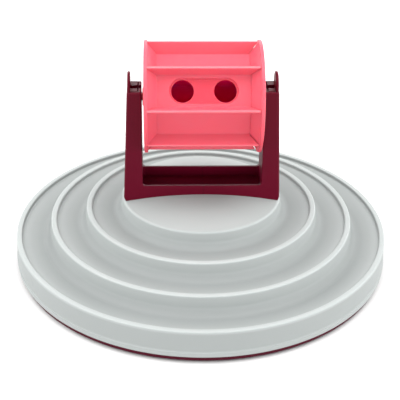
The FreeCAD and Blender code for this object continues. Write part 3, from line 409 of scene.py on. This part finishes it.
def addRingTint(tree, colour):
    look = ringTint
    place = addNode(tree, "ShaderNodeTexCoord").outputs["Object"]
    x, y, z = addNode(tree, "ShaderNodeSeparateXYZ", {0: place}).outputs
    level = addNode(tree, "ShaderNodeCombineXYZ", {0: x, 1: y}).outputs[0]
    radius = addNode(tree, "ShaderNodeVectorMath", {0: level}, operation="LENGTH").outputs["Value"]
    out = doMath(tree, "SUBTRACT", radius, look["start"])
    part = doMath(tree, "DIVIDE", doMath(tree, "FLOORED_MODULO", out, look["pitch"]), look["pitch"])
    ramp = addNode(tree, "ShaderNodeValToRGB", {0: part})
    stops = ramp.color_ramp.elements
    for k, (reach, strength) in enumerate(look["steps"]):
        spot = reach / (look["pitch"] * 1000)
        stop = stops[0] if k == 0 else stops[-1] if spot >= 1 else stops.new(spot)
        stop.color = (*(strength / look["most"],) * 3, 1)
    ring = addRange(tree, out, look["fadeIn"], 0.0)
    rings = addNode(tree, "ShaderNodeMix", {0: ring, 2: 1 / look["most"], 3: ramp.outputs[0]}).outputs[0]
    beyond = doMath(tree, "GREATER_THAN", radius, look["skirtRadius"])
    below = addRange(tree, z, *look["skirtTop"])
    above = addRange(tree, z, *look["skirtFoot"])
    skirt = doMath(tree, "MULTIPLY", doMath(tree, "MULTIPLY", below, above), beyond)
    amount = addNode(tree, "ShaderNodeMix", {0: skirt, 2: rings, 3: look["skirt"] / look["most"]}).outputs[0]
    strength = doMath(tree, "MULTIPLY", amount, look["most"])
    links = {0: colour, "Scale": strength}
    return addNode(tree, "ShaderNodeVectorMath", links, operation="SCALE").outputs[0]


# The drum's hollow is a deep red, which stands in for light that comes through its walls. The recess is a
# deeper colour than the face, which is painted shade, and the paddles' tips are paler, a painted highlight.
drumTints = {
    "hollow": ((0.94, 0.006, 0.30), 1.0),
    # the recess is painted darker than the face: painted shade
    "recess": ((0.48, 0.030, 0.054), 0.85),
    "tipHighlight": ((0.80, 0.35, 0.36), 0.18),
}


def addDrumTints(tree, colour):
    for name, (tint, amount) in drumTints.items():
        mask = addNode(tree, "ShaderNodeAttribute", attribute_name=name).outputs["Fac"]
        colour = mixColour(tree, doMath(tree, "MULTIPLY", mask, amount), colour, (*tint, 1))
    return colour


extras = {"maroonPlastic": addMeetingLine, "trayPlastic": addRingTint, "coralPlastic": addDrumTints}
paints = {name: makePaint(name, look, extras.get(name)) for name, look in paintLooks.items()}
nodePaints = {
    "base_tray": "trayPlastic",
    "base_plate": "platePlastic",
    "plate_screws": "screwSteel",
    "stand": "maroonPlastic",
    "stand_screws": "screwSteel",
    "drum_body": "coralPlastic",
    "drum_cap": "coralPlastic",
}
feet = [f"rubber_foot_{k}" for k in range(1, 7)]
nodePaints.update({foot: "footRubber" for foot in feet})
for name, paint in nodePaints.items():
    nodes[name].data.materials.clear()
    nodes[name].data.materials.append(paints[paint])
print("paints set")


# Outlines: corners as (a, b, rounding) in millimetres; a rounded one becomes an arc, with a short
# straight kept beside it so that the flats shade flat.
def roundedPath(corners, steps=5, support=0.0):
    path = []
    count = len(corners)
    for i, (a, b, radius) in enumerate(corners):
        here = Vector((a, b))
        if radius == 0:
            path.append(here)
            continue
        before = (Vector(corners[i - 1][:2]) - here).normalized()
        after = (Vector(corners[(i + 1) % count][:2]) - here).normalized()
        half = before.angle(after) / 2
        cut = radius / math.tan(half)
        centre = here + (before + after).normalized() * (radius / math.sin(half))
        start = here + before * cut - centre
        end = here + after * cut - centre
        if support:
            path.append(here + before * (cut + support))
        path += [centre + start.slerp(end, k / steps) * radius for k in range(steps + 1)]
        if support:
            path.append(here + after * (cut + support))
    return path


def addMesh(name, build):
    bm = bmesh.new()
    build(bm)
    mesh = bpy.data.meshes.new(name)
    bm.to_mesh(mesh)
    bm.free()
    return mesh


# Large flats keep their own normal beside small roundings, and corners past the limit stay crisp.
def shadeByShape(bm, limit=32, least=1.5, ratio=14):
    for face in bm.faces:
        face.smooth = True
    areas = {face: face.calc_area() for face in bm.faces}
    for edge in bm.edges:
        if len(edge.link_faces) != 2:
            continue
        one, two = (areas[face] for face in edge.link_faces)
        turn = math.degrees(edge.calc_face_angle(0))
        uneven = max(one, two) > ratio * min(one, two)
        edge.smooth = not (turn > limit or (turn > least and uneven))


def applyTree(name, mesh, tree, values):
    holder = bpy.data.objects.new(name, mesh)
    bpy.context.scene.collection.objects.link(holder)
    modifier = holder.modifiers.new("shape", "NODES")
    modifier.node_group = tree
    for item in tree.interface.items_tree:
        if item.in_out == "INPUT" and item.name in values:
            modifier[item.identifier] = values[item.name]
    graph = bpy.context.evaluated_depsgraph_get()
    made = bpy.data.meshes.new_from_object(holder.evaluated_get(graph), depsgraph=graph)
    bpy.data.objects.remove(holder)
    return made


def addPiece(name, meshes, paint, body, replaced, turn=None):
    bm = bmesh.new()
    for mesh in meshes:
        bm.from_mesh(mesh)
    for face in bm.faces:
        face.material_index = 0
    joined = bpy.data.meshes.new(name)
    bm.to_mesh(joined)
    bm.free()
    if turn:
        joined.transform(turn)
    joined.materials.append(paints[paint])
    piece = bpy.data.objects.new(name, joined)
    bpy.context.scene.collection.objects.link(piece)
    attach(piece, body)
    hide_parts(*replaced)


def isLess(tree, first, second):
    links = {"A": first, "B": second}
    return addNode(tree, "FunctionNodeCompare", links, operation="LESS_THAN", data_type="FLOAT").outputs[0]


def turnRoundZ(tree, vector, angle):
    links = {"Vector": vector, "Angle": angle}
    return addNode(tree, "ShaderNodeVectorRotate", links, rotation_type="Z_AXIS").outputs[0]


def endTree(tree, copies, material, out):
    real = addNode(tree, "GeometryNodeRealizeInstances", {0: copies})
    painted = addNode(tree, "GeometryNodeSetMaterial", {0: real.outputs[0], "Material": material})
    tree.links.new(painted.outputs[0], out.inputs[0])


# Turned work: a profile in the XZ plane is swept round Z, and copies of it stand round a circle.
def makeTurnedTree():
    tree, given, out = startTree("turnedWork", "GeometryNodeTree", [
        ("Profile", "NodeSocketGeometry", None),
        ("Segments", "NodeSocketInt", 64),
        ("Copies", "NodeSocketInt", 1),
        ("Circle Radius", "NodeSocketFloat", 0.0),
        ("Circle Turn", "NodeSocketFloat", 0.0),
        ("Crisp Angle", "NodeSocketFloat", 0.6),
        ("Material", "NodeSocketMaterial", None),
    ], [("Geometry", "NodeSocketGeometry")])
    count = addNode(tree, "GeometryNodeAttributeDomainSize", {0: given["Profile"]}).outputs["Point Count"]
    across = doMath(tree, "ADD", given["Segments"], 1)
    grid = addNode(tree, "GeometryNodeMeshGrid", {"Vertices X": count, "Vertices Y": across})
    index = addNode(tree, "GeometryNodeInputIndex").outputs[0]
    row = doMath(tree, "FLOOR", doMath(tree, "DIVIDE", index, across))
    column = doMath(tree, "MODULO", index, across)
    spot = addNode(tree, "GeometryNodeInputPosition").outputs[0]
    sample = addNode(tree, "GeometryNodeSampleIndex", {0: given["Profile"]}, data_type="FLOAT_VECTOR",
                     domain="POINT")
    tree.links.new(spot, sample.inputs["Value"])
    tree.links.new(row, sample.inputs["Index"])
    angle = doMath(tree, "DIVIDE", doMath(tree, "MULTIPLY", column, 2 * math.pi), given["Segments"])
    turned = turnRoundZ(tree, sample.outputs[0], angle)
    shell = addNode(tree, "GeometryNodeSetPosition", {0: grid.outputs["Mesh"], "Position": turned})
    merged = addNode(tree, "GeometryNodeMergeByDistance", {0: shell.outputs[0], "Distance": mergeDistance})
    bend = addNode(tree, "GeometryNodeInputMeshEdgeAngle").outputs["Unsigned Angle"]
    crisp = isLess(tree, bend, given["Crisp Angle"])
    smooth = addNode(tree, "GeometryNodeSetShadeSmooth", {0: merged.outputs[0], "Shade Smooth": True})
    edged = addNode(tree, "GeometryNodeSetShadeSmooth", {0: smooth.outputs[0], "Shade Smooth": crisp},
                    domain="EDGE")
    ring = addNode(tree, "GeometryNodeMeshCircle", {"Vertices": doMath(tree, "MAXIMUM", given["Copies"], 3),
                                                    "Radius": given["Circle Radius"]})
    spin = addNode(tree, "ShaderNodeCombineXYZ", {"Z": given["Circle Turn"]}).outputs[0]
    order = doMath(tree, "DIVIDE", doMath(tree, "MULTIPLY", index, 2 * math.pi), given["Copies"])
    ringAngle = doMath(tree, "ADD", order, given["Circle Turn"])
    reach = addNode(tree, "ShaderNodeCombineXYZ", {"X": given["Circle Radius"]}).outputs[0]
    placed = addNode(tree, "GeometryNodeSetPosition", {
        0: ring.outputs[0],
        "Position": turnRoundZ(tree, reach, ringAngle),
    })
    wanted = isLess(tree, index, given["Copies"])
    copies = addNode(tree, "GeometryNodeInstanceOnPoints", {
        "Points": placed.outputs[0],
        "Selection": wanted,
        "Instance": edged.outputs[0],
        "Rotation": spin,
    })
    endTree(tree, copies.outputs[0], given["Material"], out)
    return tree


turnedWork = makeTurnedTree()


def turnProfile(name, path, paint, segments, copies=1, circle=0.0, turn=0.0):
    def build(bm):
        points = [bm.verts.new((p[0] * mm, 0, p[1] * mm)) for p in path]
        for first, second in zip(points, points[1:]):
            bm.edges.new((first, second))
    made = applyTree(name, addMesh(name, build), turnedWork, {
        "Segments": segments,
        "Copies": copies,
        "Circle Radius": circle * mm,
        "Circle Turn": math.radians(turn),
        "Material": paints[paint],
    })
    bm = bmesh.new()
    bm.from_mesh(made)
    bmesh.ops.recalc_face_normals(bm, faces=bm.faces)
    bm.to_mesh(made)
    bm.free()
    return made


# Tray: dome, island wall, three trenches and three ridges, skirt and lip; plain walls and bosses below.
trayShape = {
    "domeRadius": 322.16,
    "domeCentre": -259.76,
    "topRadii": [0.0] + [1.5 + 4.0 * k for k in range(16)],
    "innerRadii": [56 - 8 * k for k in range(8)],
    "wall": 2.6,
    "segments": 288,
    "bossSegments": 32,
    "island": (63.4, 56.1, 2.0),
    "trenches": [
        [(64.69, 41.4, 7.0), (87.8, 43.6, 1.0), (87.8, 47.0, 1.2), (92.2, 47.0, 1.2)],
        [(93.51, 32.0, 7.0), (116.5, 34.2, 1.0), (116.5, 37.6, 1.2), (120.9, 37.6, 1.2)],
        [(122.32, 21.4, 7.0), (144.8, 23.6, 1.0), (144.8, 27.0, 1.2), (149.2, 27.0, 1.2)],
    ],
    "lip": [(149.55, 9.5, 0.12), (149.98, 9.07, 0.2), (149.98, 5.5, 0.3), (146.95, 5.5, 0.2)],
    "underside": [(146.6, 21.0, 1.0), (119.72, 18.8, 1.5), (118.3, 31.6, 1.0), (90.91, 29.4, 1.5),
                  (89.6, 41.0, 1.0), (62.09, 38.8, 1.5), (60.8, 53.96, 1.0)],
    "bosses": {"plateBoss": (6, 105.0), "standBoss": (2, 54.3)},   # copies, radius of their circle
    "plateBoss": [(1.75, 5.4, 0.2), (4.5, 5.4, 0.3), (4.5, 31.9, 0), (1.75, 31.9, 0)],
    "standBoss": [(2.1, 51.15, 0.2), (5.5, 51.15, 0.3), (5.5, 54.6, 0), (2.1, 54.6, 0)],
}


def domePoints(shape, below, radii):
    reach = shape["domeRadius"] - below
    return [(r, shape["domeCentre"] + math.sqrt(reach ** 2 - r ** 2), 0) for r in radii]


def makeTray(shape):
    corners = domePoints(shape, 0, shape["topRadii"])
    corners.append(shape["island"])
    for trench in shape["trenches"]:
        corners += trench
    corners += shape["lip"] + shape["underside"]
    corners += domePoints(shape, shape["wall"], shape["innerRadii"])
    path = roundedPath(corners, steps=6, support=0.3)
    shell = turnProfile("trayShell", path, "trayPlastic", shape["segments"])
    parts = [shell]
    for name, (copies, circle) in shape["bosses"].items():
        ring = roundedPath(shape[name], steps=3)
        parts.append(turnProfile(name, ring + ring[:1], "trayPlastic", shape["bossSegments"], copies, circle))
    addPiece("trayShell", parts, "trayPlastic", "base", ["base_tray"])


makeTray(trayShape)
print("tray turned")


# Rubber feet: round pads with a bevelled edge and two shallow grooves below.
footShape = {
    "profile": [(0.0, 0.0, 0), (2.6, 0.0, 0.15), (2.9, 0.35, 0.1), (3.4, 0.35, 0.1), (3.7, 0.0, 0.15),
                (5.4, 0.0, 0.15), (5.7, 0.35, 0.1), (6.2, 0.35, 0.1), (6.5, 0.0, 0.15), (8.4, 0.0, 0.3),
                (9.0, 0.6, 0.3), (9.0, 2.2, 0.2), (0.0, 2.2, 0)],
    "segments": 48,
    "copies": 6,
    "circle": 128.0,
    "turn": 30.0,
}
footPath = roundedPath(footShape["profile"], steps=3)
footLayout = [footShape[key] for key in ("segments", "copies", "circle", "turn")]
footRing = turnProfile("rubberFeet", footPath, "footRubber", *footLayout)
addPiece("rubberFeet", [footRing], "footRubber", "base", feet)
print("feet turned")


# Stand: the moulding's own shape with every edge sharper than the limit softened.
standShape = {
    "softening": 0.4,
    "limit": 30,
    "flatLimit": 0.5,
}


def softened(name, node, shape):
    bm = bmesh.new()
    bm.from_mesh(nodes[node].data)
    bmesh.ops.remove_doubles(bm, verts=bm.verts, dist=mergeDistance)
    flat = math.radians(shape["flatLimit"])
    bmesh.ops.dissolve_limit(bm, angle_limit=flat, verts=bm.verts, edges=bm.edges)
    shared = [e for e in bm.edges if len(e.link_faces) == 2]
    sharp = [e for e in shared if math.degrees(e.calc_face_angle(0)) > shape["limit"]]
    bmesh.ops.bevel(bm, geom=sharp, offset=shape["softening"] * mm, offset_type="OFFSET", segments=3,
                    profile=0.5, affect="EDGES", clamp_overlap=True)
    bmesh.ops.remove_doubles(bm, verts=bm.verts, dist=mergeDistance)
    shadeByShape(bm)
    mesh = bpy.data.meshes.new(name)
    bm.to_mesh(mesh)
    bm.free()
    return mesh


standMesh = softened("standFrame", "stand", standShape)
addPiece("standFrame", [standMesh], "maroonPlastic", "base", ["stand"])
print("stand softened")


# Drum, built round the axle along X with the holed face up, then turned towards the front.
drumShape = {
    "axleHeight": 139.9,
    "turn": 59.0,
    "sides": 8,
    "ringSteps": 192,
    "coreRadius": 33.4,
    "coreInner": 31.02,
    "coreEnd": 35.0,
    "coreBevel": 0.3,
    # From the stub's end over collar, dish and rim to the disc's inner face: along the axle, radius, rounding
    "outside": [(54.7, 0.0, 0), (54.7, 3.0, 0.6), (46.0, 3.0, 0.4), (46.0, 7.0, 0.4), (37.4, 7.0, 0.8),
                (37.4, 30.4, 1.4), (44.6, 39.0, 0.6), (44.6, 43.0, 0.8), (41.9, 43.0, 0.7), (41.9, 42.22, 0)],
    "wall": [(41.9, 42.15, 0), (35.0, 33.4, 0.7), (33.0, 33.4, 0)],
    "spigot": {"start": 29.0, "outer": 30.89, "wall": 1.95, "bevel": 0.4},
    "holeSpot": 15.9,
    "holeRadius": 8.35,
    "recessRadius": 9.8,
    "recessDepth": 1.7,
    "edgeRound": 0.45,
    "backRound": 0.3,
    "backing": 1.8,
    "backingMargin": 2.0,
    "capStep": (0.3, 0.28, 0.1),            # along the axle, outwards, inwards
    "markMargins": (0.1, 0.2, 0.25),        # slack, behind the holed face, below its top
}
half = math.pi / drumShape["sides"]


def ringVerts(bm, x, radius, flat):
    steps = drumShape["ringSteps"]
    made = []
    for j in range(steps):
        angle = half + 2 * math.pi * j / steps
        reach = radius
        if flat:
            offset = (angle + half) % (2 * half) - half
            reach = radius * math.cos(half) / math.cos(offset)
        made.append(bm.verts.new((x * mm, reach * math.cos(angle) * mm, reach * math.sin(angle) * mm)))
    return made


def bridge(bm, first, second, skip=()):
    count = max(len(first), len(second))
    for j in range(count):
        if j in skip:
            continue
        k = (j + 1) % count
        if len(first) == 1:
            bm.faces.new((first[0], second[j], second[k]))
        elif len(second) == 1:
            bm.faces.new((first[j], first[k], second[0]))
        else:
            bm.faces.new((first[j], first[k], second[k], second[j]))


def endRings(bm, side):
    rings = []
    for x, radius in roundedPath(drumShape["outside"], steps=4, support=0.15):
        if radius == 0:
            rings.append([bm.verts.new((side * x * mm, 0, 0))])
        else:
            rings.append(ringVerts(bm, side * x, radius, False))
    for x, radius in roundedPath(drumShape["wall"], steps=4)[:-1]:
        rings.append(ringVerts(bm, side * x, radius, True))
    return rings


def bridgeAll(bm, rings):
    for first, second in zip(rings, rings[1:]):
        bridge(bm, first, second)


def loopEdges(bm, loop):
    made = []
    for first, second in zip(loop, loop[1:] + loop[:1]):
        edge = bm.edges.get((first, second))
        made.append(edge or bm.edges.new((first, second)))
    return made


def fillBetween(bm, loops, normal):
    edges = [edge for loop in loops for edge in loopEdges(bm, loop)]
    bmesh.ops.triangle_fill(bm, use_beauty=True, use_dissolve=False, edges=edges, normal=normal)


def arcVerts(bm, centre, radius, z, angles):
    made = []
    for angle in angles:
        x = centre + radius * math.cos(angle)
        made.append(bm.verts.new((x * mm, radius * math.sin(angle) * mm, z * mm)))
    return made


def stadium(bm, radius, z, steps=20):
    spot = drumShape["holeSpot"]
    made = []
    for centre, start in ((spot, -90), (-spot, 90)):
        angles = [math.radians(start + 180 * k / steps) for k in range(steps + 1)]
        made += arcVerts(bm, centre, radius, z, angles)
    return made


def circle(bm, centre, radius, z, steps=40):
    return arcVerts(bm, centre, radius, z, [2 * math.pi * k / steps for k in range(steps)])


# A quarter round as (radius, height) pairs. It starts level or upright, and its size has a sign each way.
def quarterRound(radius, z, across, up, steps, startsLevel):
    path = []
    for k in range(steps + 1):
        angle = math.radians(90 * k / steps)
        shares = (1 - math.sin(angle), 1 - math.cos(angle))
        if not startsLevel:
            shares = shares[::-1]
        path.append((radius + across * shares[0], z + up * shares[1]))
    return path


# The holed face: a shallow recess with rounded ends and two round holes, thickened behind.
def holedFace(bm, outerLoop, innerLoop):
    shape = drumShape
    top = shape["coreRadius"] * math.cos(half)
    inner = shape["coreInner"] * math.cos(half)
    floor = top - shape["recessDepth"]
    back = floor - shape["backing"]
    edge = shape["edgeRound"]
    recess = quarterRound(shape["recessRadius"], top, edge, -edge, 4, True)
    recess += quarterRound(shape["recessRadius"], floor, -edge, edge, 4, False)
    loops = [stadium(bm, radius, z) for radius, z in recess]
    bridgeAll(bm, loops)
    fillBetween(bm, [outerLoop, loops[0]], (0, 0, 1))
    starts, ends = [], []
    for centre in (-shape["holeSpot"], shape["holeSpot"]):
        hole = quarterRound(shape["holeRadius"], floor, edge, -edge, 4, True)
        hole += quarterRound(shape["holeRadius"], back, shape["backRound"], shape["backRound"], 2, False)
        rings = [circle(bm, centre, radius, z) for radius, z in hole]
        bridgeAll(bm, rings)
        starts.append(rings[0])
        ends.append(rings[-1])
    fillBetween(bm, [loops[-1]] + starts, (0, 0, 1))
    margin = shape["recessRadius"] + shape["backingMargin"]
    below = [stadium(bm, margin, back), stadium(bm, margin, inner)]
    bridgeAll(bm, below)
    fillBetween(bm, [below[0]] + ends, (0, 0, -1))
    fillBetween(bm, [below[1], innerLoop], (0, 0, -1))


# Marks tell the coral paint which points lie in the hollow (a painted glow) and which in the recess (painted
# shade).
def markDepth(bm):
    shape = drumShape
    slack, behind, under = shape["markMargins"]
    hollow = bm.verts.layers.float.new("hollow")
    recess = bm.verts.layers.float.new("recess")
    top = shape["coreRadius"] * math.cos(half)
    back = top - shape["recessDepth"] - shape["backing"]
    inside = shape["coreInner"] * math.cos(half) + slack
    for vert in bm.verts:
        x, y, z = vert.co / mm
        beyond = math.hypot(max(0, abs(x) - shape["holeSpot"]), y)
        offset = (math.atan2(z, y) + half) % (2 * half) - half
        flat = math.hypot(y, z) * math.cos(offset)
        if abs(x) < shape["coreEnd"] + slack and z <= back + behind and flat < inside:
            vert[hollow] = 1.0
        elif back < z < top - under and beyond < shape["recessRadius"] + slack:
            vert[recess] = 1.0


def buildBody(bm):
    shape = drumShape
    rings = endRings(bm, -1)
    bridgeAll(bm, rings)
    perSide = shape["ringSteps"] // shape["sides"]
    first = perSide
    holed = range(first, first + perSide)
    end = shape["coreEnd"]
    bevel = shape["coreBevel"]
    outer = [ringVerts(bm, end - bevel, shape["coreRadius"], True),
             ringVerts(bm, end, shape["coreRadius"] - bevel, True)]
    inner = [ringVerts(bm, end, shape["coreInner"], True), ringVerts(bm, -end, shape["coreInner"], True)]
    bridge(bm, rings[-1], outer[0], holed)
    bridgeAll(bm, outer + inner[:1])
    bridge(bm, inner[0], inner[1], holed)
    bridge(bm, inner[1], [bm.verts.new((-end * mm, 0, 0))])
    span = list(range(first, first + perSide + 1))
    outerLoop = [rings[-1][j] for j in span] + [outer[0][j] for j in reversed(span)]
    innerLoop = [inner[1][j] for j in span] + [inner[0][j] for j in reversed(span)]
    holedFace(bm, outerLoop, innerLoop)
    markDepth(bm)
    bmesh.ops.recalc_face_normals(bm, faces=bm.faces)
    shadeByShape(bm)


def buildCap(bm):
    shape = drumShape
    spigot = shape["spigot"]
    end = shape["coreEnd"]
    along, outwards, inwards = shape["capStep"]
    rings = endRings(bm, 1)[:-5]        # without the five rings of the rounding at the core
    rows = [
        (end + along, shape["coreRadius"] + outwards),
        (end, shape["coreRadius"] - inwards),
        (end, spigot["outer"]),
        (spigot["start"] + spigot["bevel"], spigot["outer"]),
        (spigot["start"], spigot["outer"] - spigot["bevel"]),
        (spigot["start"], spigot["outer"] - spigot["wall"]),
        (end, spigot["outer"] - spigot["wall"]),
    ]
    rings += [ringVerts(bm, x, radius, True) for x, radius in rows]
    rings.append([bm.verts.new((end * mm, 0, 0))])
    bridgeAll(bm, rings)
    bmesh.ops.recalc_face_normals(bm, faces=bm.faces)
    shadeByShape(bm)


# One paddle on the upper corner of the core: flared root, rounded tip, left end inside the end wall,
# right end cut along the cap's wall.
paddleShape = {
    "thickness": 2.1,
    "tip": 42.8,
    "tipFlat": 0.02,
    "tipRound": 0.8,
    "root": 31.5,
    "rootHalf": 3.0,
    "sunk": 0.06,
    "flare": 0.7,
    "leftEnd": (35.8, 42.4),    # at the root, and the most it reaches
    "rightEnd": (34.65, 41.1),
    "slope": 6.9 / 8.9,
    "endRound": 0.3,
    "tipHighlightDepth": 0.25,
}


def buildPaddle(bm):
    shape = paddleShape
    core = drumShape["coreRadius"]
    side = shape["thickness"] / 2
    fall = math.tan(half)
    outline = roundedPath([
        (shape["rootHalf"], shape["root"], 0),
        (shape["rootHalf"], core - shape["rootHalf"] * fall - shape["sunk"], 0),
        (side, core - side * fall, shape["flare"]),
        (side, shape["tip"], shape["tipRound"]),
        (shape["tipFlat"], shape["tip"], 0),
    ], steps=4)
    rows = []
    ends = (shape["leftEnd"], shape["rightEnd"])
    # Points at the paddles' tips get a painted highlight: the coral paint is paler there.
    tipHighlight = bm.verts.layers.float.new("tipHighlight")
    for across, reach in outline:
        rise = max(0, reach - core)
        left, right = (min(start + rise * shape["slope"], most) for start, most in ends)
        soft = min(shape["endRound"], across * 0.5)
        spots = [(-left, across), (right - soft, across), (right - soft * 0.3, across - soft * 0.3),
                 (right, across - soft)]
        row = spots + [(x, -t) for x, t in reversed(spots)]
        rows.append([bm.verts.new((x * mm, t * mm, reach * mm)) for x, t in row])
        for vert in rows[-1]:
            vert[tipHighlight] = 1.0 if reach > shape["tip"] - shape["tipHighlightDepth"] else 0.0
    bridgeAll(bm, rows)
    for row in (rows[0], rows[-1]):
        for k in range(3):
            bm.faces.new((row[k], row[k + 1], row[6 - k], row[7 - k]))
    bmesh.ops.recalc_face_normals(bm, faces=bm.faces)
    shadeByShape(bm)


# Copies round the axle, one to each corner.
def makeSpokeTree():
    tree, given, out = startTree("roundTheAxle", "GeometryNodeTree", [
        ("Piece", "NodeSocketGeometry", None),
        ("Copies", "NodeSocketInt", 8),
        ("First Turn", "NodeSocketFloat", 0.0),
        ("Material", "NodeSocketMaterial", None),
    ], [("Geometry", "NodeSocketGeometry")])
    line = addNode(tree, "GeometryNodeMeshLine", {"Count": given["Copies"], "Offset": (0, 0, 0)})
    index = addNode(tree, "GeometryNodeInputIndex").outputs[0]
    step = doMath(tree, "DIVIDE", 2 * math.pi, given["Copies"])
    angle = doMath(tree, "ADD", doMath(tree, "MULTIPLY", index, step), given["First Turn"])
    turn = addNode(tree, "ShaderNodeCombineXYZ", {"X": angle}).outputs[0]
    copies = addNode(tree, "GeometryNodeInstanceOnPoints", {
        "Points": line.outputs[0],
        "Instance": given["Piece"],
        "Rotation": turn,
    })
    endTree(tree, copies.outputs[0], given["Material"], out)
    return tree


axlePlace = (Matrix.Translation((0, 0, drumShape["axleHeight"] * mm))
             @ Matrix.Rotation(math.radians(drumShape["turn"]), 4, "X"))
bodyMesh = addMesh("drumBody", buildBody)
addPiece("drumBody", [bodyMesh], "coralPlastic", "drum", ["drum_body"], axlePlace)
capMesh = addMesh("drumCap", buildCap)
addPiece("drumCap", [capMesh], "coralPlastic", "drum", ["drum_cap"], axlePlace)
paddles = applyTree("drumPaddles", addMesh("drumPaddle", buildPaddle), makeSpokeTree(), {
    "Copies": drumShape["sides"],
    "First Turn": half,
    "Material": paints["coralPlastic"],
})
addPiece("drumPaddles", [paddles], "coralPlastic", "drum", ["drum_body"], axlePlace)
print("drum built")
